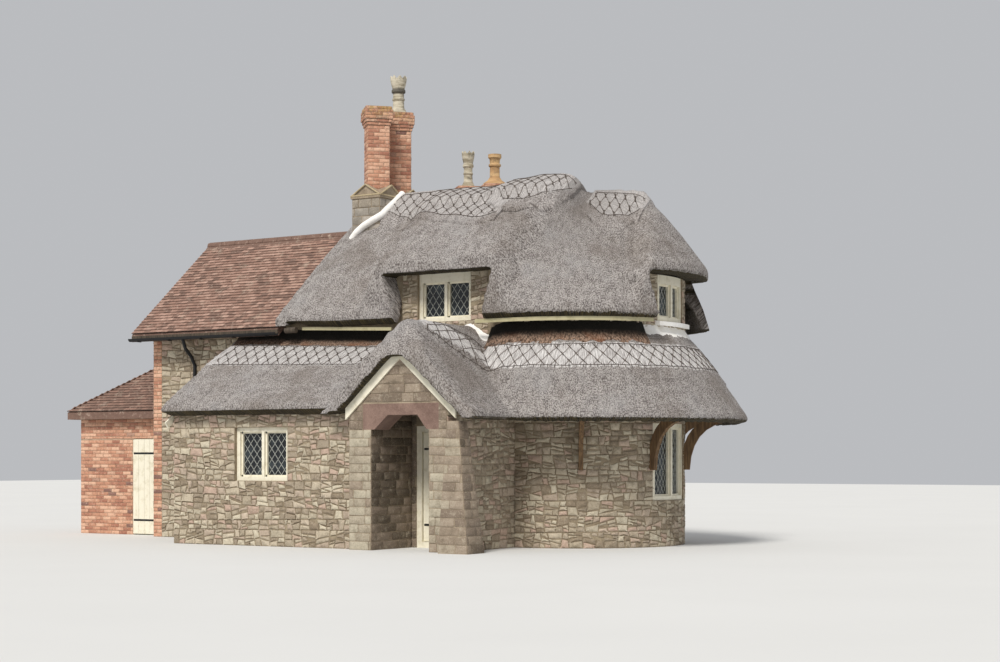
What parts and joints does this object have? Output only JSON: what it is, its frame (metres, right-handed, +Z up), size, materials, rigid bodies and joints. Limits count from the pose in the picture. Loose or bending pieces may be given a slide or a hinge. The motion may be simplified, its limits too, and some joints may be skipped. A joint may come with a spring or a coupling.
{
  "type": "thatched cottage",
  "caption": "Stone cottage with a round end, hooded thatched roof, lower thatch over a lean-to and gabled porch, tiled wing, brick chimneys and a small outbuilding.",
  "frame": {"origin": "on the ground at the middle of the whole plan", "axes": "+X along the front towards the round end, +Y from the front to the back, +Z up"},
  "size_m": [14.86, 7.77, 9.435],
  "materials": {
    "thatch": "weathered straw thatch, grey-brown and matt",
    "ridge_straw": "paler ridge straw held by hazel spars",
    "clay_tile": "weathered red-brown clay tiles with lichen",
    "rubble_stone": "grey, beige and pinkish rubble in pale lime mortar",
    "dressed_stone": "squared stone, weathered",
    "lintel_stone": "pinkish brown stone, worn smooth",
    "brick": "orange-red brick with soot and lichen",
    "floor_stone": "plain stone flags",
    "floor_board": "plain boards",
    "cream_wood": "cream paint, slightly dirty",
    "brown_wood": "oiled brown timber",
    "pane": "old leaded glass",
    "pot_clay": "grey-cream clay with lichen",
    "buff_clay": "buff-orange clay",
    "black_iron": "black paint"
  },
  "bodies": {
    "house": {"upper_thatch": "thatch", "lean_to_thatch": "thatch", "porch_thatch": "thatch", "skirt_thatch": "thatch", "ridge_band": "ridge_straw", "tiled_roof": "clay_tile", "outbuilding_roof": "clay_tile", "front_wall_left": "rubble_stone", "front_wall_over_hall": "rubble_stone", "front_wall_right": "rubble_stone", "back_wall_left": "rubble_stone", "back_wall_right": "rubble_stone", "left_gable_wall": "rubble_stone", "round_wall_front": "rubble_stone", "round_wall_back": "rubble_stone", "round_wall_sill": "rubble_stone", "round_wall_middle": "rubble_stone", "lean_to_front_wall": "rubble_stone", "lean_to_left_wall": "rubble_stone", "porch_back_wall": "rubble_stone", "porch_wall_over_door": "rubble_stone", "porch_left_pier": "dressed_stone", "porch_right_pier": "dressed_stone", "porch_gable": "dressed_stone", "porch_buttress": "dressed_stone", "front_chimney_base": "dressed_stone", "porch_lintel": "lintel_stone", "outbuilding_front_wall": "brick", "outbuilding_wall_over_door": "brick", "outbuilding_door_pier": "brick", "outbuilding_left_wall": "brick", "outbuilding_back_wall": "brick", "front_chimney_shafts": "brick", "rear_chimney": "brick", "ground_floor": "floor_stone", "lean_to_floor": "floor_stone", "upper_floor": "floor_board", "front_door_frame": "cream_wood", "porch_bargeboards": "cream_wood", "dormer_window": "cream_wood", "rear_dormer_window": "cream_wood", "lean_to_window": "cream_wood", "rear_window": "cream_wood", "gable_window": "cream_wood", "round_end_lower_window": "cream_wood", "round_end_upper_window": "cream_wood", "skirt_brackets": "brown_wood", "dormer_glass": "pane", "rear_dormer_glass": "pane", "lean_to_glass": "pane", "rear_glass": "pane", "gable_glass": "pane", "round_end_lower_glass": "pane", "round_end_upper_glass": "pane", "front_chimney_pot": "pot_clay", "rear_chimney_crown_pot": "pot_clay", "rear_chimney_buff_pot": "buff_clay", "gutter_and_downpipe": "black_iron"},
    "front_door": {"front_door": "cream_wood"},
    "outbuilding_door": {"outbuilding_door": "cream_wood"}
  },
  "joints": [
    {"name": "front_door_hinge", "type": "hinge", "parent": "house", "child": "front_door", "pos_m": [2.699, -2.233, 0.35], "axis": [0, 0, 1], "range_deg": [0, 90]},
    {"name": "outbuilding_door_hinge", "type": "hinge", "parent": "house", "child": "outbuilding_door", "pos_m": [-5.684, -0.917, 0.35], "axis": [0, 0, -1], "range_deg": [0, 100]}
  ]
}
